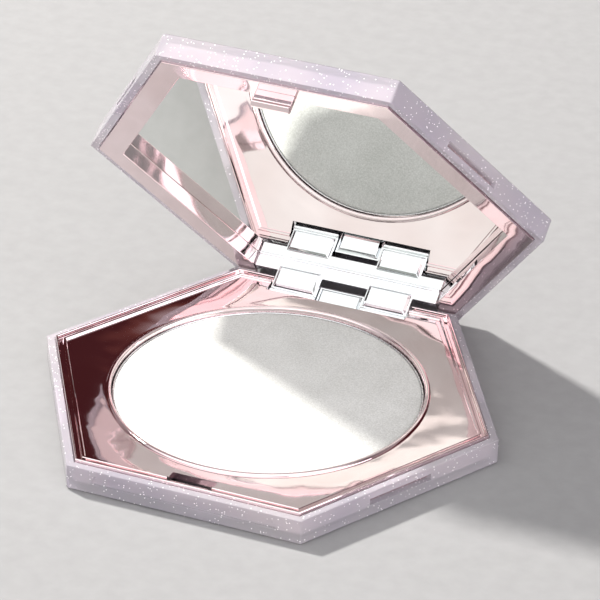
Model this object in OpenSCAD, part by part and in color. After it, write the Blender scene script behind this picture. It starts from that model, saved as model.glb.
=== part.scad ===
// Hexagonal pressed-powder compact with a mirror in its hinged lid.
// The origin is the centre of the underside, +Z is up, the hinge runs along X at the +Y side.
// The lid is drawn open, and turns about the hinge pin.

/* [Outline] */
// Width of the clear shells across two corners
across_corners = 83.6; // [80:0.2:88]
// Width across two corners of the metallised trays inside the shells
tray_corners = 80; // [76.6:0.2:80]
// Height of the closed case from the underside to the base tray's rim
base_h = 5.3; // [5.2:0.1:6.4]
// Height of the lid from its tray's rim to its back
lid_h = 4.95; // [4.7:0.05:6]
// Bevel on the outer edges of both shells
edge_bevel = 0.4; // [0.2:0.05:0.6]

/* [Lid] */
// Angle of the lid from closed as it is drawn
open_angle = 58; // [0:1:90]
// Gap between the two tray rims when closed
rim_gap = 0.3; // [0.2:0.05:0.6]
// Width of the mirror across two corners
mirror_corners = 70.6; // [66:0.2:72]
// Depth of the mirror's face below the lid tray's rim
mirror_depth = 2.6; // [1.6:0.1:2.7]
// Thickness of the mirror glass
mirror_t = 0.7; // [0.6:0.1:0.8]

/* [Powder] */
// Outer diameter of the powder pan
pan_d = 53.2; // [46:0.2:53.6]
// Height of the powder's face above the underside
powder_z = 3.85; // [3.4:0.05:3.9]
// Thickness of the pan's sheet
pan_t = 0.3; // [0.2:0.05:0.4]

/* [Hinge] */
// Distance of the hinge pin behind the centre
pin_y = 33.9; // [33.6:0.1:34]
// Height of the hinge pin above the underside
pin_z = 2.7; // [2.65:0.05:2.8]
// Diameter of the hinge pin
pin_d = 1.5; // [1:0.1:1.8]
// Width of the pair of lid knuckles over their outer faces
hinge_w = 25.8; // [22:0.2:28]
// Width of the base's middle knuckle
middle_w = 8.4; // [6:0.2:10]
// Width of the base's two end lugs
lug_w = 4.3; // [3:0.1:4.4]

/* [Latch] */
// Width of the lid's snap hook
hook_w = 6.8; // [5:0.2:8]
// Reach of the hook below the lid tray's rim
hook_h = 3.2; // [3:0.1:3.4]

/* [Hidden] */
$fn = 96;

shell_r = across_corners / 2;
tray_r = tray_corners / 2;
flat = cos(30);                      // apothem of a hexagon of circumradius 1
shell_wall = 1.65;                   // shell wall, measured towards a corner
shell_floor = 1.3;                   // floor of the base shell
shell_roof = 1.15;                   // roof of the lid shell
base_step = 0.5;                     // how far the base tray's rim stands proud of its shell
lid_step = 0.3;                      // the same on the lid
rear_bevel = 0.5;                    // bevel on the base shell's rear edge, which clears the lid's rim
clear = 0.05;                        // running and assembly clearance
tray_wall = 1.3;                     // outer wall of the trays, measured towards a corner
big = 200;

tape_t = 0.1;
tape_inset = 3;                      // tape inside the mirror's edge
mirror_r = mirror_corners / 2;
mirror_z = lid_h - mirror_depth - mirror_t;  // back of the glass above the lid's back
tape_z = mirror_z - tape_t;

// Lid tray: a flat rim round the mirror, hollow behind
flange_t = 0.9;
inner_wall = 1;                      // wall round the mirror, measured towards a corner

// Snap tabs of the trays, which click into windows in the shells
tab_w = 12.5;
tab_h = 0.9;
tab_z = 2.5;
window_gap = 0.15;

// Rim of the base tray: a thin lip, a groove, a second ridge
lip_w = 0.4;
groove_w = 1.1;
ridge_w = 0.45;
groove_depth = 0.5;
deck_z = base_h - 1;                 // top of the base tray's deck
deck_t = 0.8;

// Well for the pan
well_floor = shell_floor + 0.4;
glue_t = 0.1;
glue_inset = 4;                      // glue inside the pan's edge
pan_z = well_floor + glue_t;
pan_rim_z = powder_z + 0.25;
well_r = pan_d / 2 + 0.15;
well_lip = 1.1;
well_lip_z = deck_z + 0.3;

// Hinge, in a section across the pin: y towards the back, z up, from the pin's centre
knuckle_r = 1.6;
lug_r = 1.45;
hinge_floor = 1;                     // floor of the hinge's pocket in the base shell
knuckle_gap = 0.1;
lug_x = hinge_w / 2 + knuckle_gap;   // inner face of an end lug
hinge_half = lug_x + lug_w;          // outer face of an end lug
notch_half = hinge_half + 0.15;
opening_half = lug_x + 0.2;          // opening in the base tray's deck and rim

// Base half of the hinge
base_front = 3.2;                    // front face of the base knuckles
web_t = 1.05;                        // web that joins the base knuckles, under the deck
under_deck = deck_z - deck_t - pin_z;
face_front_z = 0.3;                  // face of the middle knuckle, at its front and at its back
face_back_z = 2.45;
face_back_y = 0.5;
back_z = 1.3;                        // top of the middle knuckle's back

// Lid half of the hinge, closed
lid_front = 2.5;                     // front face of the lid knuckles
lid_back = 0.7;
lid_rim = base_h + rim_gap - pin_z;  // lid tray's rim above the pin
bar_z = lid_rim + 0.15;              // front of the bar that joins the lid knuckles, towards the base
bar_top = lid_rim + mirror_depth + mirror_t - 0.1;
leaf_front = pin_y - mirror_r * flat - clear;  // reach of the bar's leaf, up to the mirror's edge
lip_z = [-0.75, -0.9, -1.4];         // lip along the foot of a lid knuckle: its top, and its face
lip_out = 0.25;

// Raised pads on the faces of the knuckles
pad_margin = 0.3;
pad_bevel = 0.5;
pad_h = 0.6;
lid_pad_l = 4.3;
lid_pad_z = 1.65;
middle_pad_l = 3.8;

// Shallow recess for a fingernail along the front of the base shell
nail_w = 33;
nail_h = 1.5;
nail_z = 2.2;
nail_depth = 0.35;

// Latch: the hook's barb passes the catch with the clearance that its bending takes up
slot_half = hook_w / 2 + 0.6;
slot_front = (tray_r - tray_wall) * flat;
slot_depth = 2.6;
hook_t = 1.1;
hook_tip = 0.5;                      // height of the hook's tapered tip
barb = 0.45;
barb_h = 0.3;
catch_t = 0.5;
catch_h = 1.2;
catch_slope = [0.3, 0.7];            // start and end of the catch's flat top
hook_chamfer = [0.2, 0.4];           // chamfers at the hook's tip, in front and behind
hook_front = slot_front - catch_t - 0.1 - barb;

module hex(r, h) { cylinder(r = r, h = h, $fn = 6); }

// A hexagonal ring of the given wall, measured towards a corner
module hex_ring(r, wall, h) {
    difference() {
        hex(r, h);
        translate([0, 0, -1]) hex(r - wall, h + 2);
    }
}

// Cuts a 45 degree bevel on the lower edge of a hexagon that stands on z = 0
module bevel_cut(r, b) {
    for (side = [0 : 5])
        rotate(60 * side + 30) translate([r * flat, 0, 0]) rotate([0, 45, 0])
            cube([b * sqrt(2), 2 * r, b * sqrt(2)], center = true);
}

// Places a child at the middle of each listed side; side 0 faces +X and a bit of +Y
module on_sides(sides, r) {
    for (side = sides)
        rotate(60 * side + 30) translate([r * flat, 0, 0]) children();
}

TAB_SIDES = [0, 2, 3, 5];

// Clear dish of either half, standing on its back, without its cut-outs
module shell_dish(h, floor) {
    difference() {
        hex(shell_r, h);
        translate([0, 0, floor]) hex(shell_r - shell_wall, h);
        bevel_cut(shell_r, edge_bevel);
        on_sides(TAB_SIDES, tray_r)
            translate([-1, -tab_w / 2 - window_gap, tab_z - window_gap])
                cube([4, tab_w + 2 * window_gap, tab_h + 2 * window_gap]);
    }
}

// Snap tabs of either tray
module tabs() {
    on_sides(TAB_SIDES, tray_r)
        translate([-0.5, -tab_w / 2, tab_z]) cube([1.1, tab_w, tab_h]);
}

// Moves a lid piece, drawn upside down on its back at z = 0, to its closed place and opens it
module lid_place() {
    translate([0, pin_y, pin_z]) rotate([-open_angle, 0, 0]) translate([0, -pin_y, -pin_z])
        translate([0, 0, base_h + rim_gap + lid_h]) mirror([0, 0, 1]) children();
}

// Moves a piece drawn in the hinge's closed section to the lid as it is drawn
module lid_hinge_place() {
    translate([0, pin_y, pin_z]) rotate([-open_angle, 0, 0]) children();
}

// Extrudes a section, drawn as [y, z] from the pin's centre, between two x positions
module along_x(x0, x1) {
    translate([x0, 0, 0]) rotate([90, 0, 90]) linear_extrude(x1 - x0) children();
}

// A low pad with bevelled sides, w by l, standing on z = 0
module bevelled_pad(w, l) {
    intersection() {
        rotate([90, 0, 0]) linear_extrude(l, center = true) pad_section(w);
        rotate([90, 0, 90]) linear_extrude(w, center = true) pad_section(l);
    }
}

module pad_section(w) {
    polygon([[-w / 2, -0.1], [w / 2, -0.1], [w / 2, 0], [w / 2 - pad_bevel, pad_h],
             [pad_bevel - w / 2, pad_h], [-w / 2, 0]]);
}

module base_shell() {
    color("#CFC6CA", 0.5)
    difference() {
        shell_dish(base_h - base_step, shell_floor);
        translate([-notch_half, pin_y - base_front - web_t - 0.1, hinge_floor])
            cube([2 * notch_half, 20, big]);
        translate([0, shell_r * flat, base_h - base_step]) rotate([45, 0, 0])
            cube([2 * shell_r, rear_bevel * sqrt(2), rear_bevel * sqrt(2)], center = true);
        translate([0, nail_depth - shell_r * flat, nail_z]) rotate([90, 0, 0]) linear_extrude(1)
            polygon([[-nail_w / 2, 0], [nail_w / 2, 0], [nail_w / 2 - nail_h / 2, nail_h],
                     [nail_h / 2 - nail_w / 2, nail_h]]);
    }
}

module base_tray() {
    color("#C99A94")
    difference() {
        union() {
            translate([0, 0, shell_floor]) hex_ring(tray_r, tray_wall, base_h - shell_floor);
            translate([0, 0, deck_z - deck_t])
                hex_ring(tray_r - lip_w, groove_w + ridge_w, base_h - deck_z + deck_t);
            translate([0, 0, deck_z - deck_t]) hex(tray_r - lip_w - groove_w / 2, deck_t);
            translate([0, 0, shell_floor]) cylinder(r = well_r + well_lip, h = well_lip_z - shell_floor);
            tabs();
        }
        translate([0, 0, base_h - groove_depth]) hex_ring(tray_r - lip_w, groove_w, 1);
        translate([0, 0, well_floor]) cylinder(r = well_r, h = big);
        // opening for the knuckles through the deck and the rear rim, and room for the rest below
        translate([-opening_half, pin_y - base_front - 0.1, -1]) cube([2 * opening_half, 20, big]);
        translate([-notch_half, pin_y - base_front - web_t - 0.1, -1])
            cube([2 * notch_half, 20, 1 + pin_z + under_deck]);
        translate([0, pin_y, pin_z]) along_x(-notch_half, notch_half) circle(r = lug_r + 0.1);
        // slot for the snap hook behind the front rim
        translate([-slot_half, -slot_front, -1]) cube([2 * slot_half, slot_depth, big]);
    }
}

module pan_adhesive() {
    color("#E8E2D4")
    translate([0, 0, well_floor]) cylinder(r = pan_d / 2 - glue_inset, h = glue_t);
}

module powder_pan() {
    color("#D8D8DA")
    translate([0, 0, pan_z]) difference() {
        cylinder(d = pan_d, h = pan_rim_z - pan_z);
        translate([0, 0, pan_t]) cylinder(d = pan_d - 2 * pan_t, h = 10);
    }
}

module powder_cake() {
    color("#F4F3EF")
    translate([0, 0, pan_z + pan_t]) cylinder(d = pan_d - 2 * pan_t, h = powder_z - pan_z - pan_t);
}

// Section of the middle knuckle: its face slopes up to the back, round the pin behind
module middle_knuckle_section() {
    circle(r = knuckle_r);
    polygon([[-base_front, hinge_floor - pin_z], [-base_front, face_front_z], [face_back_y, face_back_z],
             [knuckle_r, back_z], [knuckle_r, 0], [0, hinge_floor - pin_z]]);
}

// Section of an end lug, which lies under the tray's deck and rim
module lug_section() {
    circle(r = lug_r);
    polygon([[-base_front, hinge_floor - pin_z], [-base_front, under_deck - 0.1], [0, under_deck - 0.1],
             [lug_r, 0], [0, hinge_floor - pin_z]]);
}

module base_hinge_block() {
    color("#E4E5E6")
    translate([0, pin_y, pin_z]) difference() {
        union() {
            along_x(-middle_w / 2, middle_w / 2) middle_knuckle_section();
            for (side = [-1, 1])
                translate([side * (lug_x + lug_w / 2), 0, 0]) along_x(-lug_w / 2, lug_w / 2) lug_section();
            translate([-hinge_half, -base_front - web_t, hinge_floor - pin_z])
                cube([2 * hinge_half, web_t + 0.02, under_deck - hinge_floor + pin_z]);
            translate([0, (face_back_y - base_front) / 2, (face_front_z + face_back_z) / 2])
                rotate([atan2(face_back_z - face_front_z, base_front + face_back_y), 0, 0])
                    bevelled_pad(middle_w - 2 * pad_margin, middle_pad_l);
        }
        along_x(-hinge_half - 1, hinge_half + 1) circle(d = pin_d);
    }
}

module hinge_pin() {
    color("#B9BCC0")
    translate([0, pin_y, pin_z]) along_x(-hinge_half + 0.3, hinge_half - 0.3) circle(d = pin_d);
}

// Bead on the front wall of the slot, behind which the hook snaps
module latch_catch() {
    color("#B98A86")
    translate([0, -slot_front, base_h - groove_depth - catch_h])
        along_x(-hook_w / 2, hook_w / 2)
            polygon([[0, 0], [catch_t, catch_slope[0]], [catch_t, catch_slope[1]], [0, catch_h]]);
}

module lid_shell() {
    color("#CFC6CA", 0.5)
    lid_place() shell_dish(lid_h - lid_step, shell_roof);
}

module lid_tray() {
    color("#C99A94")
    difference() {
        lid_place() difference() {
            union() {
                translate([0, 0, shell_roof]) hex(tray_r, lid_h - shell_roof);
                tabs();
            }
            translate([0, 0, tape_z]) hex(mirror_r + clear, lid_h);
            translate([0, 0, shell_roof - 1])
                hex_ring(tray_r - tray_wall, tray_r - tray_wall - mirror_r - inner_wall,
                         1 + lid_h - shell_roof - flange_t);
        }
        lid_hinge_place() translate([-notch_half, -leaf_front - 0.01, -5])
            cube([2 * notch_half, leaf_front + 2, 5 + bar_top]);
    }
}

module mirror_tape() {
    color("#F0F0EC")
    lid_place() translate([0, 0, tape_z]) hex(mirror_r - tape_inset, tape_t);
}

module mirror_glass() {
    color("#C4D0D2")
    lid_place() translate([0, 0, mirror_z]) hex(mirror_r, mirror_t);
}

// Section of a lid knuckle in its closed place: it hangs from the bar down round the pin
module lid_knuckle_section() {
    circle(r = knuckle_r);
    polygon([[-lid_front, -knuckle_r], [0, -knuckle_r], [0, 0], [knuckle_r, 0],
             [lid_back, bar_z], [lid_back, bar_top], [-lid_front, bar_top]]);
    polygon([[0, -knuckle_r], [0, lip_z[0]], [-lid_front, lip_z[0]], [-lid_front - lip_out, lip_z[1]],
             [-lid_front - lip_out, lip_z[2]], [-lid_front, -knuckle_r]]);
}

module lid_hinge_block() {
    knuckle_w = (hinge_w - middle_w) / 2 - knuckle_gap;
    lid_hinge_place() color("#E4E5E6") difference() {
        union() {
            for (side = [-1, 1])
                translate([side * (hinge_w - knuckle_w) / 2, 0, 0]) {
                    along_x(-knuckle_w / 2, knuckle_w / 2) lid_knuckle_section();
                    translate([0, -lid_front, lid_pad_z]) rotate([90, 0, 0])
                        bevelled_pad(knuckle_w - 2 * pad_margin, lid_pad_l);
                }
            translate([-hinge_half, -lid_front, bar_z])
                cube([2 * hinge_half, lid_front + lid_back, bar_top - bar_z]);
            translate([-hinge_half, -leaf_front, bar_top - mirror_t])
                cube([2 * hinge_half, leaf_front, mirror_t]);
        }
        along_x(-hinge_w / 2 - 1, hinge_w / 2 + 1) circle(d = pin_d + 2 * clear);
    }
}

// Snap hook in the middle of the lid's free edge, with a barb at its tip
module latch_hook() {
    color("#C99A94")
    lid_place() translate([0, -hook_front, lid_h])
        along_x(-hook_w / 2, hook_w / 2)
            polygon([[0, 0], [hook_t, 0], [hook_t, hook_h - hook_tip], [hook_t - hook_chamfer[1], hook_h],
                     [hook_chamfer[0], hook_h], [-barb, hook_h - hook_tip], [-barb, hook_h - hook_tip - barb_h],
                     [0, hook_h - hook_tip - barb_h - barb]]);
}

base_shell();
base_tray();
pan_adhesive();
powder_pan();
powder_cake();
base_hinge_block();
hinge_pin();
latch_catch();
lid_shell();
lid_tray();
mirror_tape();
mirror_glass();
lid_hinge_block();
latch_hook();
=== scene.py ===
"""A hexagonal pressed-powder compact, open: clear acrylic shells over rose-gold trays, a chrome hinge,
a round pan of pearl powder and a mirror in the lid. Everything is in metres, in the CAD model's frame."""

import math

import bmesh
import bpy
from mathutils import Matrix, Vector, noise


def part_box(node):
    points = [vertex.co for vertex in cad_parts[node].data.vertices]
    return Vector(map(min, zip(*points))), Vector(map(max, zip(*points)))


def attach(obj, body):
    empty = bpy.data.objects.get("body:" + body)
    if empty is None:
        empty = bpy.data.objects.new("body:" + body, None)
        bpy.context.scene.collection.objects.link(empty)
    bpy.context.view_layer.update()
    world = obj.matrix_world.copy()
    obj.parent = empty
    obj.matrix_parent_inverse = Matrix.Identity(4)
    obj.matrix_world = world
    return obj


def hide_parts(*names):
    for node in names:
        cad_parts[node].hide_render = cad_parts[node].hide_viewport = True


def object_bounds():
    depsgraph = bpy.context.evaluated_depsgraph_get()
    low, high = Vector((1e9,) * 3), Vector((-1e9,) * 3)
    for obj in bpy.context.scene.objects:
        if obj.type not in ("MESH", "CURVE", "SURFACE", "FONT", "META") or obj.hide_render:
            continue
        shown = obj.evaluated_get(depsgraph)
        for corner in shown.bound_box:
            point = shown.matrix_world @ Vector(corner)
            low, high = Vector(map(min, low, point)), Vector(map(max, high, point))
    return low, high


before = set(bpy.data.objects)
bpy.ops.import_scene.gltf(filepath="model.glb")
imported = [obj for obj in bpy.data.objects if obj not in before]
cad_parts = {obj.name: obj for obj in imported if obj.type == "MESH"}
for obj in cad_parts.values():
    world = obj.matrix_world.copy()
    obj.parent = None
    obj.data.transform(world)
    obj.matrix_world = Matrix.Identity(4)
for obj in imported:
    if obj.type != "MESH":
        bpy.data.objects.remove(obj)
cad_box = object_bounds()


# Shells: two shallow hexagonal dishes injection-moulded in clear acrylic with glitter in the melt.
# Windows in their walls take the trays' snap tabs, and the mould's polish leaves bright, soft edges.

MM = 0.001
SAME_POINT = 0.002 * MM
HAIR = 0.008 * MM


def linear(code):
    """A six-digit sRGB hex colour as linear RGBA."""
    parts = [int(code[i:i + 2], 16) / 255 for i in (1, 3, 5)]
    return [c / 12.92 if c <= 0.04045 else ((c + 0.055) / 1.055) ** 2.4 for c in parts] + [1.0]


def node(tree, kind, settings=None, links=None):
    """Adds a node: settings are its properties or its inputs' values, links are (node, output) pairs."""
    made = tree.nodes.new("ShaderNode" + kind)
    for name, value in (settings or {}).items():
        if name == "stops":
            elements = made.color_ramp.elements
            elements.remove(elements[-1])
            for i, (place, code) in enumerate(value):
                stop = elements[0] if i == 0 else elements.new(place)
                stop.position = place
                stop.color = linear(code)
        elif isinstance(name, str) and hasattr(made, name):
            setattr(made, name, value)
        else:
            made.inputs[name].default_value = value
    for name, (source, output) in (links or {}).items():
        tree.links.new(source.outputs[output], made.inputs[name])
    return made


def new_material(name):
    """An empty node material, and its tree."""
    made = bpy.data.materials.new(name)
    made.use_nodes = True
    made.node_tree.nodes.clear()
    return made, made.node_tree


def soften(piece, width, angle=32, segments=2):
    """Rounds a kept CAD node's edges, and holds its faces a hair off its neighbours' faces."""
    weld = piece.modifiers.new("weld", "WELD")
    weld.merge_threshold = SAME_POINT
    gap = piece.modifiers.new("gap", "DISPLACE")
    gap.mid_level = 0
    gap.strength = -HAIR
    rounding = piece.modifiers.new("edges", "BEVEL")
    rounding.width = width
    rounding.segments = segments
    rounding.limit_method = "ANGLE"
    rounding.angle_limit = math.radians(angle)
    rounding.use_clamp_overlap = True
    rounding.harden_normals = True


def coat(piece, finish):
    """Gives a piece its one material."""
    piece.data.materials.clear()
    piece.data.materials.append(finish)


def clear_acrylic():
    """Injection-moulded clear acrylic with glitter: glassy highlights, milky lilac depth, bright flakes.
    The flakes are coarser than real ones, to show. The index of refraction is below acrylic's 1.49, so
    that the tray shows through the walls."""
    made, tree = new_material("clear_acrylic_with_glitter")
    flake_pitch = 0.5 * MM
    place = node(tree, "TexCoord")
    flakes = node(tree, "TexVoronoi", {"Scale": 1 / flake_pitch}, {"Vector": (place, "Object")})
    kind = node(tree, "SeparateColor", links={"Color": (flakes, "Color")})
    near = node(tree, "Math", {"operation": "LESS_THAN", 1: 0.18}, {0: (flakes, "Distance")})
    some = node(tree, "Math", {"operation": "GREATER_THAN", 1: 0.5}, {0: (kind, 0)})
    flake = node(tree, "Math", {"operation": "MULTIPLY"}, {0: (near, 0), 1: (some, 0)})
    haze = node(tree, "TexNoise", {"Scale": 1 / (14 * MM), "Detail": 2.0}, {"Vector": (place, "Object")})
    milk = node(tree, "ValToRGB", {"stops": [(0.3, "#D6D1DB"), (0.7, "#E8E2E6")]}, {"Fac": (haze, 0)})
    tone = node(tree, "Mix", {"data_type": "RGBA", "B": linear("#FFFDFD")},
                {"A": (milk, 0), "Factor": (flake, 0)})
    see_through = node(tree, "MapRange", {"To Min": 0.62, "To Max": 0.0}, {"Value": (flake, 0)})
    flow = node(tree, "Bump", {"Strength": 0.03, "Distance": 0.3 * MM}, {"Height": (haze, 0)})
    skin = node(tree, "BsdfPrincipled", {"Roughness": 0.04, "IOR": 1.22},
                {"Base Color": (tone, 2), "Transmission Weight": (see_through, 0), "Normal": (flow, 0)})
    node(tree, "OutputMaterial", links={"Surface": (skin, 0)})
    return made


acrylic = clear_acrylic()
for shell in ("base_shell", "lid_shell"):
    soften(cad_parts[shell], 0.22 * MM, segments=3)
    coat(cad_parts[shell], acrylic)


# Trays: ABS moulded to a mirror finish, vacuum-metallised and lacquered rose gold, with a rim of lip,
# groove and ridge and a deck that dishes down to a beaded ring round the well for the pan.

def metallised_rose_gold():
    """Vacuum-metallised ABS under rose lacquer: a pink mirror that sink marks bend a little.
    Its roughness varies with the lacquer's orange peel."""
    made, tree = new_material("rose_gold_metallised_abs")
    place = node(tree, "TexCoord")
    sink = node(tree, "TexNoise", {"Scale": 1 / (11 * MM), "Detail": 1.5}, {"Vector": (place, "Object")})
    peel = node(tree, "TexNoise", {"Scale": 1 / (0.5 * MM), "Detail": 2.0}, {"Vector": (place, "Object")})
    tone = node(tree, "ValToRGB", {"stops": [(0.3, "#EFDBDC"), (0.7, "#F7E6E8")]}, {"Fac": (sink, 0)})
    dull = node(tree, "MapRange", {"To Min": 0.03, "To Max": 0.08}, {"Value": (peel, 0)})
    waves = node(tree, "Bump", {"Strength": 0.3, "Distance": 0.8 * MM}, {"Height": (sink, 0)})
    skin = node(tree, "BsdfPrincipled", {"Metallic": 1.0},
                {"Base Color": (tone, 0), "Roughness": (dull, 0), "Normal": (waves, 0)})
    node(tree, "OutputMaterial", links={"Surface": (skin, 0)})
    return made


rose_gold = metallised_rose_gold()
SIDE_STEPS = 20
FLAT = math.cos(math.radians(30))


def outline(corner, radius, roundness, z):
    """A closed row of points between a hexagon with corners on X and a circle."""
    row = []
    for step in range(6 * SIDE_STEPS):
        angle = math.tau * step / (6 * SIDE_STEPS)
        from_side = (angle % (math.tau / 6)) - math.tau / 12
        hexagon = corner * FLAT / math.cos(from_side)
        reach = hexagon + (radius - hexagon) * roundness
        row.append((reach * math.cos(angle), reach * math.sin(angle), z))
    return row


def piece_of(made, name):
    """An object of a finished mesh."""
    mesh = bpy.data.meshes.new(name)
    made.to_mesh(mesh)
    made.free()
    piece = bpy.data.objects.new(name, mesh)
    bpy.context.scene.collection.objects.link(piece)
    return piece


def loft(name, rows):
    """A closed solid through rows of points, with a flat cap on its first and last rows."""
    made = bmesh.new()
    rings = [[made.verts.new(point) for point in row] for row in rows]
    for low, high in zip(rings, rings[1:]):
        for i, corner in enumerate(low):
            after = (i + 1) % len(low)
            made.faces.new((corner, low[after], high[after], high[i]))
    made.faces.new(rings[0])
    made.faces.new(rings[-1])
    bmesh.ops.recalc_face_normals(made, faces=made.faces)
    return piece_of(made, name)


def block(low, high, name="block"):
    """A box between two corners."""
    made = bmesh.new()
    bmesh.ops.create_cube(made, size=1)
    for vertex in made.verts:
        vertex.co = Vector(high[k] if vertex.co[k] > 0 else low[k] for k in range(3))
    return piece_of(made, name)


def rod(centre, reach, radius):
    """A round bar along X through a centre."""
    made = bmesh.new()
    turn = Matrix.Translation(centre) @ Matrix.Rotation(math.pi / 2, 4, "Y")
    bmesh.ops.create_cone(made, cap_ends=True, segments=48, radius1=radius, radius2=radius,
                          depth=2 * reach, matrix=turn)
    return piece_of(made, "rod")


def combine(piece, tool, operation):
    """Cuts a tool from a piece, or joins it on, and removes the tool."""
    change = piece.modifiers.new("change", "BOOLEAN")
    change.object = tool
    change.operation = operation
    change.solver = "EXACT"
    shaped = piece.evaluated_get(bpy.context.evaluated_depsgraph_get())
    mesh = bpy.data.meshes.new_from_object(shaped)
    piece.modifiers.clear()
    piece.data = mesh
    bpy.data.objects.remove(tool)


def smooth(piece, angle=30):
    """Smooth shading, with sharp edges where faces meet above an angle."""
    piece.data.polygons.foreach_set("use_smooth", [True] * len(piece.data.polygons))
    piece.data.set_sharp_from_angle(angle=math.radians(angle))


tray_low, tray_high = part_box("base_tray")
rim = tray_high.z
tray_corner = tray_high.x
tray_floor = tray_low.z + 0.01 * MM
pan_low, pan_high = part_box("powder_pan")
pin_low, pin_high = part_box("hinge_pin")
pin_centre = (pin_low + pin_high) / 2
well_floor = pan_low.z - 0.1 * MM
well_radius = pan_high.x + 0.15 * MM
bead = 0.5 * MM
bead_rise = 0.42 * MM
bead_foot = rim - 0.95 * MM
bead_radius = well_radius + bead
deck_radius = bead_radius + bead + 0.12 * MM
deck_corner = tray_corner - 2.15 * MM
deck_rise = 0.4 * MM
dish = 1.8
deck_under = rim - 1.8 * MM
wall = 1.3 * MM
tip = 0.2 * MM

# Rim from the deck outwards, as insets from the outside and drops from the top: ridge, groove, thin lip.
# The groove is 0.3 mm deeper than in the CAD model, so that its dark line shows.
RIM_PROFILE = ((2.06, 0.44), (2.0, 0.24), (1.88, 0.14), (1.5, 0.14), (1.38, 0.24), (1.34, 0.7), (1.28, 0.8),
               (0.5, 0.8), (0.42, 0.7), (0.38, 0.12), (0.32, 0.02), (0.22, 0.0), (0.1, 0.02), (0.0, 0.14))

rows = [outline(tip, tip, 1, well_floor), outline(0, well_radius, 1, well_floor)]
BEAD_STEPS = 8
for step in range(BEAD_STEPS + 1):
    turn = math.pi * step / BEAD_STEPS
    rows.append(outline(0, bead_radius - bead * math.cos(turn), 1, bead_foot + bead_rise * math.sin(turn)))
DECK_STEPS = 10
for step in range(DECK_STEPS + 1):
    out = step / DECK_STEPS
    rows.append(outline(deck_corner, deck_radius, 1 - out, bead_foot + deck_rise * (1 - (1 - out) ** dish)))
for inset, drop in RIM_PROFILE:
    rows.append(outline(tray_corner - inset * MM, 0, 0, rim - drop * MM))
rows += [outline(tray_corner, 0, 0, tray_floor), outline(tray_corner - wall, 0, 0, tray_floor),
         outline(tray_corner - wall, 0, 0, deck_under), outline(0, deck_radius, 1, deck_under),
         outline(0, deck_radius, 1, tray_floor), outline(tip, tip, 1, tray_floor)]
base_tray = loft("base_tray_shaped", rows)

# Snap tabs on the four sides without hinge or hook
apothem = tray_corner * FLAT
tab_root = apothem - 0.5 * MM
tab_end = apothem + 0.6 * MM
tab_half = 6.25 * MM
tab_low = 2.5 * MM
tab_high = 3.4 * MM
for side in (0, 2, 3, 5):
    tab = block((tab_root, -tab_half, tab_low), (tab_end, tab_half, tab_high))
    tab.data.transform(Matrix.Rotation(math.radians(60 * side + 30), 4, "Z"))
    combine(base_tray, tab, "UNION")

# Opening for the knuckles, room under the deck for the hinge's web and pin, and the hook's slot
FAR = 60 * MM
knuckle_front = pin_centre.y - 3.3 * MM
web_front = knuckle_front - 1.05 * MM
opening_half = 13.2 * MM
room_half = 17.45 * MM
lug_room = 1.55 * MM
slot_half = 4 * MM
slot_front = (wall - tray_corner) * FLAT
slot_back = slot_front + 2.6 * MM
hinge_opening = block((-opening_half, knuckle_front, -FAR), (opening_half, FAR, FAR))
web_room = block((-room_half, web_front, -FAR), (room_half, FAR, deck_under))
pin_room = rod(pin_centre, room_half, lug_room)
hook_slot = block((-slot_half, slot_front, -FAR), (slot_half, slot_back, FAR))
for cutter in (hinge_opening, web_room, pin_room, hook_slot):
    combine(base_tray, cutter, "DIFFERENCE")
smooth(base_tray, 24)
coat(base_tray, rose_gold)
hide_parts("base_tray")
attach(base_tray, "base")

for part in ("lid_tray", "latch_hook", "latch_catch"):
    soften(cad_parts[part], 0.14 * MM)
    coat(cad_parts[part], rose_gold)


# Glue and tape: a round film of hot-melt glue holds the pan in its well, and a hexagon of thin
# double-sided tape holds the mirror in the lid. Both are off-white, and neither can be seen from outside.

def adhesive_film():
    """Hot-melt glue and tape: off-white and matt, full of small cells that are drawn coarse."""
    made, tree = new_material("adhesive_film")
    place = node(tree, "TexCoord")
    cells = node(tree, "TexVoronoi", {"Scale": 1 / (0.4 * MM)}, {"Vector": (place, "Object")})
    tone = node(tree, "ValToRGB", {"stops": [(0.1, "#DAD4C6"), (0.6, "#F0EDE4")]}, {"Fac": (cells, 0)})
    pores = node(tree, "Bump", {"Strength": 0.4, "Distance": 0.05 * MM}, {"Height": (cells, 0)})
    skin = node(tree, "BsdfPrincipled", {"Roughness": 0.8}, {"Base Color": (tone, 0), "Normal": (pores, 0)})
    node(tree, "OutputMaterial", links={"Surface": (skin, 0)})
    return made


adhesive = adhesive_film()
for part in ("pan_adhesive", "mirror_tape"):
    coat(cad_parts[part], adhesive)


# Pan: a shallow round cup, deep-drawn from 0.3 mm bright aluminium sheet, with a rounded edge.
# Its edge ends level with the powder, so that only a thin bright line of it shows.

def drawn_aluminium():
    """Drawn aluminium sheet: satin grey-white, with fine cloudy marks of the die."""
    made, tree = new_material("drawn_aluminium_sheet")
    place = node(tree, "TexCoord")
    drawn = node(tree, "TexNoise", {"Scale": 1 / (0.6 * MM), "Detail": 3.0}, {"Vector": (place, "Object")})
    tone = node(tree, "ValToRGB", {"stops": [(0.3, "#D9DADB"), (0.7, "#E8E9EA")]}, {"Fac": (drawn, 0)})
    dull = node(tree, "MapRange", {"To Min": 0.2, "To Max": 0.34}, {"Value": (drawn, 0)})
    skin = node(tree, "BsdfPrincipled", {"Metallic": 1.0}, {"Base Color": (tone, 0), "Roughness": (dull, 0)})
    node(tree, "OutputMaterial", links={"Surface": (skin, 0)})
    return made


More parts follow.
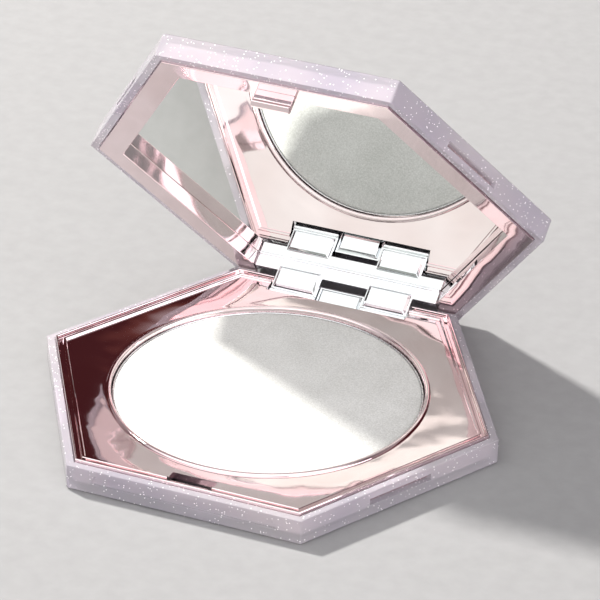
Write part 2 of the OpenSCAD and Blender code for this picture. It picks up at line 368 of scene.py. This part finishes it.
cake_low, cake_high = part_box("powder_cake")
sheet = 0.3 * MM
cup = pan_high.x
cup_corner = 0.2 * MM
foot = 0.4 * MM
bend = 0.12 * MM
inside = pan_low.z + sheet
rows = [outline(tip, tip, 1, inside), outline(0, cup - sheet - cup_corner, 1, inside),
        outline(0, cup - sheet, 1, inside + cup_corner)]
EDGE_STEPS = 6
for step in range(EDGE_STEPS + 1):
    turn = math.pi * step / EDGE_STEPS
    rows.append(outline(0, cup - sheet / 2 - sheet / 2 * math.cos(turn), 1,
                        cake_high.z - sheet / 4 + sheet / 2 * math.sin(turn)))
rows += [outline(0, cup, 1, pan_low.z + foot), outline(0, cup - bend, 1, pan_low.z + bend),
         outline(0, cup - foot, 1, pan_low.z), outline(tip, tip, 1, pan_low.z)]
pan = loft("powder_pan_shaped", rows)
smooth(pan)
coat(pan, drawn_aluminium())
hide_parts("powder_pan")
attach(pan, "base")


# Powder: pearl-white face powder of talc and mica, pressed into the pan with a cloth over the die.
# Its edge is softly broken and its face faintly uneven.

def pearl_powder():
    """Pressed talc and mica: chalk white and matt, with painted pearl glints: white dots in its colour,
    drawn coarse, stand for the sparkle of its mica.
    """
    made, tree = new_material("pressed_pearl_powder")
    place = node(tree, "TexCoord")
    clouds = node(tree, "TexNoise", {"Scale": 1 / (6 * MM), "Detail": 4.0}, {"Vector": (place, "Object")})
    grain = node(tree, "TexNoise", {"Scale": 1 / (0.25 * MM), "Detail": 3.0}, {"Vector": (place, "Object")})
    mica = node(tree, "TexVoronoi", {"Scale": 1 / (0.3 * MM)}, {"Vector": (place, "Object")})
    speck = node(tree, "Mix", {"data_type": "FLOAT", "Factor": 0.75}, {2: (clouds, 0), 3: (grain, 0)})
    base = node(tree, "ValToRGB", {"stops": [(0.35, "#BDBDB9"), (0.65, "#D8D8D5")]}, {"Fac": (speck, 0)})
    # Painted glints: small white dots mixed into the powder's colour stand for the sparkle of its mica.
    painted_glint = node(tree, "MapRange", {"From Min": 0.12, "From Max": 0.2, "To Min": 0.5, "To Max": 0.0},
                 {"Value": (mica, 0)})
    tone = node(tree, "Mix", {"data_type": "RGBA", "B": linear("#FFFFFF")},
                {"A": (base, 0), "Factor": (painted_glint, 0)})
    press = node(tree, "Bump", {"Strength": 0.5, "Distance": 0.03 * MM}, {"Height": (grain, 0)})
    skin = node(tree, "BsdfPrincipled", {"Roughness": 0.75, "Sheen Weight": 0.1, "Specular IOR Level": 0.25},
                {"Base Color": (tone, 2), "Normal": (press, 0)})
    node(tree, "OutputMaterial", links={"Surface": (skin, 0)})
    return made


edge = cake_high.x
hollow = 0.04 * MM
unevenness = 0.01 * MM
patch = 3 * MM
face = cake_high.z - unevenness
face_from = cake_high.z - 0.2 * MM
rows = [outline(tip, tip, 1, cake_low.z), outline(0, edge, 1, cake_low.z)]
BROKEN_EDGE = ((0, 0.35), (0.06, 0.15), (0.2, 0.05))
for inset, drop in BROKEN_EDGE:
    rows.append(outline(0, edge - inset * MM, 1, cake_high.z - drop * MM))
face_radius = edge - 0.45 * MM
FACE_STEPS = 24
for step in range(FACE_STEPS + 1):
    inward = step / FACE_STEPS
    rows.append(outline(0, face_radius * (1 - inward) + tip * inward, 1,
                        face - hollow * math.sin(math.pi * inward / 2)))
cake = loft("powder_cake_shaped", rows)
for vertex in cake.data.vertices:
    if vertex.co.z > face_from:
        vertex.co.z += unevenness * noise.noise(vertex.co / patch)
smooth(cake, 60)
coat(cake, pearl_powder())
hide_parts("powder_cake")
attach(cake, "base")


# Hinge: two blocks of zinc, die-cast and chromed, with raised pads on their knuckles. The lid's block has
# two knuckles and a leaf to the mirror, the base's one knuckle and two lugs; a ground steel pin joins them.

def bright_chrome():
    """Chrome plate over die-cast zinc: a blue-white mirror with slightly wavy faces."""
    made, tree = new_material("bright_chrome_plate")
    place = node(tree, "TexCoord")
    waves = node(tree, "TexNoise", {"Scale": 1 / (4 * MM), "Detail": 1.0}, {"Vector": (place, "Object")})
    tone = node(tree, "ValToRGB", {"stops": [(0.3, "#E9EBEE"), (0.7, "#F4F5F7")]}, {"Fac": (waves, 0)})
    dull = node(tree, "MapRange", {"To Min": 0.03, "To Max": 0.09}, {"Value": (waves, 0)})
    cast = node(tree, "Bump", {"Strength": 0.3, "Distance": 0.15 * MM}, {"Height": (waves, 0)})
    skin = node(tree, "BsdfPrincipled", {"Metallic": 1.0},
                {"Base Color": (tone, 0), "Roughness": (dull, 0), "Normal": (cast, 0)})
    node(tree, "OutputMaterial", links={"Surface": (skin, 0)})
    return made


def ground_steel():
    """Centreless-ground steel: grey, with the fine rings of grinding drawn coarse."""
    made, tree = new_material("ground_steel")
    place = node(tree, "TexCoord")
    rings = node(tree, "TexWave", {"Scale": 1 / (0.9 * MM), "Distortion": 1.5},
                 {"Vector": (place, "Object")})
    tone = node(tree, "ValToRGB", {"stops": [(0.0, "#A9ACB0"), (1.0, "#BDC0C4")]}, {"Fac": (rings, 0)})
    dull = node(tree, "MapRange", {"To Min": 0.22, "To Max": 0.32}, {"Value": (rings, 0)})
    skin = node(tree, "BsdfPrincipled", {"Metallic": 1.0}, {"Base Color": (tone, 0), "Roughness": (dull, 0)})
    node(tree, "OutputMaterial", links={"Surface": (skin, 0)})
    return made


chrome = bright_chrome()
for part in ("base_hinge_block", "lid_hinge_block"):
    soften(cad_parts[part], 0.14 * MM)
    coat(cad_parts[part], chrome)
soften(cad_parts["hinge_pin"], 0.2 * MM, angle=60)
coat(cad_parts["hinge_pin"], ground_steel())


# Mirror: a hexagon of 0.7 mm float glass, silvered on its back and cut with ground edges.
# It lies in the lid tray's pocket on its tape.

def silvered_glass():
    """Silvered float glass: a clean, neutral reflection with a trace of haze."""
    made, tree = new_material("silvered_float_glass")
    place = node(tree, "TexCoord")
    haze = node(tree, "TexNoise", {"Scale": 1 / (12 * MM), "Detail": 2.0}, {"Vector": (place, "Object")})
    tone = node(tree, "ValToRGB", {"stops": [(0.3, "#E2E5E2"), (0.7, "#E8EBE8")]}, {"Fac": (haze, 0)})
    dull = node(tree, "MapRange", {"To Min": 0.0, "To Max": 0.015}, {"Value": (haze, 0)})
    skin = node(tree, "BsdfPrincipled", {"Metallic": 1.0}, {"Base Color": (tone, 0), "Roughness": (dull, 0)})
    node(tree, "OutputMaterial", links={"Surface": (skin, 0)})
    return made


soften(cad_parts["mirror_glass"], 0.12 * MM)
coat(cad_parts["mirror_glass"], silvered_glass())


# Floor: a plain pale card, four metres wide, that the compact lies on.
# It isn't part of the compact.

def pale_card():
    """Matt pale card, its barely visible fibre drawn coarse."""
    made, tree = new_material("pale_card")
    place = node(tree, "TexCoord")
    fibre = node(tree, "TexNoise", {"Scale": 1 / (3 * MM), "Detail": 5.0}, {"Vector": (place, "Object")})
    tone = node(tree, "ValToRGB", {"stops": [(0.3, "#8C8C8C"), (0.7, "#919191")]}, {"Fac": (fibre, 0)})
    tooth = node(tree, "Bump", {"Strength": 0.2, "Distance": 0.1 * MM}, {"Height": (fibre, 0)})
    skin = node(tree, "BsdfPrincipled", {"Roughness": 0.9}, {"Base Color": (tone, 0), "Normal": (tooth, 0)})
    node(tree, "OutputMaterial", links={"Surface": (skin, 0)})
    return made


floor_half = 2
card = 10 * MM
ground = cad_box[0].z
floor = block((-floor_half, -floor_half, ground - card), (floor_half, floor_half, ground), "floor")
floor.data.materials.append(pale_card())


# Light: one lamp high at the left, a wide weak one low at the right, and a bright panel over the front
# of a dark warm room, which gives the metal its white faces and dark lines.

def softbox(name, towards, distance, size, power, colour):
    """A round soft light at a distance along a direction, aimed at the compact."""
    light = bpy.data.lights.new(name, "AREA")
    light.shape = "DISK"
    light.size = size
    light.energy = power
    light.color = linear(colour)[:3]
    lamp = bpy.data.objects.new(name, light)
    bpy.context.scene.collection.objects.link(lamp)
    lamp.location = Vector(towards).normalized() * distance
    lamp.rotation_euler = Vector(towards).to_track_quat("Z", "Y").to_euler()


softbox("key", (-0.661, 0.186, 0.727), 1.2, 0.11, 27.0, "#FFFCF8")
softbox("fill", (1.0, -0.45, 0.35), 1.2, 1.3, 10.0, "#F7F5FC")

world = bpy.data.worlds.new("room")
bpy.context.scene.world = world
world.use_nodes = True
tree = world.node_tree
tree.nodes.clear()
direction = node(tree, "TexCoord")
tilt = math.radians(35)
panel = (0, -math.sin(tilt), math.cos(tilt))
nearness = node(tree, "VectorMath", {"operation": "DOT_PRODUCT", 1: panel}, {0: (direction, "Generated")})
room_tones = [(0.0, "#36181A"), (0.06, "#4E2A27"), (0.13, "#84787A"), (0.5, "#564C4F"),
              (0.64, "#BDBBBE"), (0.76, "#FFFFFF")]
room = node(tree, "ValToRGB", {"stops": room_tones}, {"Fac": (nearness, "Value")})
glow = node(tree, "Background", {"Strength": 1.6}, {"Color": (room, 0)})
node(tree, "OutputWorld", links={"Surface": (glow, 0)})


# Camera: a long lens, low over the front right of the compact.
# Its distance and its target are in metres.

def look_from(azimuth, elevation, roll, distance, target, lens):
    """A camera at a distance from a target; azimuth 0 looks along +Y."""
    az, el = math.radians(azimuth), math.radians(elevation)
    back = Vector((math.sin(az) * math.cos(el), -math.cos(az) * math.cos(el), math.sin(el)))
    data = bpy.data.cameras.new("camera")
    data.lens = lens
    data.sensor_width = 36
    data.clip_start = 0.01
    made = bpy.data.objects.new("camera", data)
    bpy.context.scene.collection.objects.link(made)
    made.matrix_world = (Matrix.Translation(Vector(target) + back * distance)
                         @ (back.to_track_quat("Z", "Y").to_matrix().to_4x4())
                         @ Matrix.Rotation(math.radians(roll), 4, "Z"))
    bpy.context.scene.camera = made


look_from(21.70, 30.24, 1.17, 0.67085, (-0.00582, 0.02852, rim), 227.4)
bpy.context.scene.view_settings.view_transform = "Standard"
